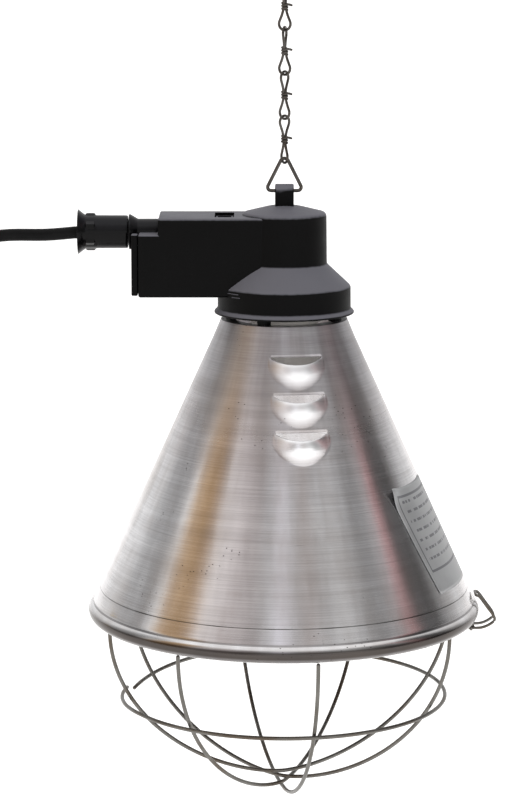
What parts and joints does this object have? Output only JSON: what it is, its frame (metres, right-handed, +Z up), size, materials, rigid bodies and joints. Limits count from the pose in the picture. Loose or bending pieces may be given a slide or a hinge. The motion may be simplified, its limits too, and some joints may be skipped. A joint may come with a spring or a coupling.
{
  "type": "heat lamp fixture",
  "caption": "Hanging infrared heat lamp for young livestock: spun reflector shade, vented black cap with side arm and cord, hinged wire guard, chain and hook.",
  "frame": {"origin": "inside of the hook's crown, where the lamp hangs from a bar", "axes": "+Z up along the lamp's axis; the side arm and its lead point along -X; the louvres face -Y"},
  "size_m": [0.3347, 0.2098, 0.4633],
  "materials": {
    "zinc": "galvanised steel wire, dull silver with brown-grey patches",
    "black_plastic": "moulded near-black plastic, fine texture",
    "gloss_black": "glossy black nylon",
    "rubber": "satin black cable sheath and seal",
    "wire_blue": "blue insulation",
    "screw_steel": "bright zinc-plated steel",
    "brass": "plain brass",
    "porcelain": "glazed white porcelain",
    "aluminium": "spun aluminium, fine turning rings, polished with streaks",
    "label": null
  },
  "bodies": {
    "hook": {"hanging_hook": "zinc"},
    "link_4": {"chain_link_4": "zinc"},
    "link_3": {"chain_link_3": "zinc"},
    "link_2": {"chain_link_2": "zinc"},
    "link_1": {"chain_link_1": "zinc"},
    "ring": {"hanger_ring": "zinc"},
    "lamp": {"housing": "black_plastic", "arm_end_cover": "black_plastic", "shade_spacer_1": "black_plastic", "shade_spacer_2": "black_plastic", "shade_spacer_3": "black_plastic", "shade_spacer_4": "black_plastic", "switch_body": "black_plastic", "cord_tie": "black_plastic", "plug_body": "black_plastic", "gland_body": "gloss_black", "gland_nut": "gloss_black", "diode": "gloss_black", "gland_seal": "rubber", "supply_cord": "rubber", "plug_tail": "rubber", "cord_coil": "rubber", "inner_wire_1": "rubber", "inner_wire_2": "wire_blue", "cover_screw_1": "screw_steel", "cover_screw_2": "screw_steel", "shade_screw_1": "screw_steel", "shade_screw_2": "screw_steel", "shade_screw_3": "screw_steel", "shade_screw_4": "screw_steel", "bracket_screw_1": "screw_steel", "bracket_screw_2": "screw_steel", "holder_bracket": "screw_steel", "screw_shell": "brass", "centre_contact": "brass", "plug_pin_1": "brass", "plug_pin_2": "brass", "lampholder": "porcelain", "shade": "aluminium", "guard_hinge_tab": "aluminium", "label": "label"},
    "rocker": {"switch_rocker": "gloss_black"},
    "guard": {"guard_top_ring": "zinc", "guard_rib_1": "zinc", "guard_rib_2": "zinc", "guard_rib_3": "zinc", "guard_rib_4": "zinc", "guard_hoop": "zinc", "latch_lug": "zinc"},
    "latch": {"guard_latch": "zinc"}
  },
  "joints": [
    {"name": "link_4_swing", "type": "hinge", "parent": "hook", "child": "link_4", "pos_m": [0, 0, -0.0294], "axis": [1, 0, 0], "range_deg": [-25, 25]},
    {"name": "link_3_swing", "type": "hinge", "parent": "link_4", "child": "link_3", "pos_m": [0, 0, -0.05], "axis": [1, 0, 0], "range_deg": [-25, 25]},
    {"name": "link_2_swing", "type": "hinge", "parent": "link_3", "child": "link_2", "pos_m": [0, 0, -0.073], "axis": [1, 0, 0], "range_deg": [-25, 25]},
    {"name": "link_1_swing", "type": "hinge", "parent": "link_2", "child": "link_1", "pos_m": [0, 0, -0.096], "axis": [1, 0, 0], "range_deg": [-25, 25]},
    {"name": "ring_swing", "type": "hinge", "parent": "link_1", "child": "ring", "pos_m": [0, 0, -0.119], "axis": [1, 0, 0], "range_deg": [-25, 25]},
    {"name": "lamp_swing", "type": "hinge", "parent": "ring", "child": "lamp", "pos_m": [0, 0, -0.1344], "axis": [1, 0, 0], "range_deg": [-45, 45]},
    {"name": "rocker_tip", "type": "hinge", "parent": "lamp", "child": "rocker", "pos_m": [-0.0315, 0, -0.152], "axis": [1, 0, 0], "range_deg": [-7, 7]},
    {"name": "guard_swing", "type": "hinge", "parent": "lamp", "child": "guard", "pos_m": [-0.093, 0, -0.366], "axis": [0, 1, 0], "range_deg": [0, 100], "deforming": ["guard_latch"]},
    {"name": "latch_swing", "type": "hinge", "parent": "guard", "child": "latch", "pos_m": [0.101, 0, -0.3698], "axis": [0, 1, 0], "range_deg": [0, 95]}
  ]
}
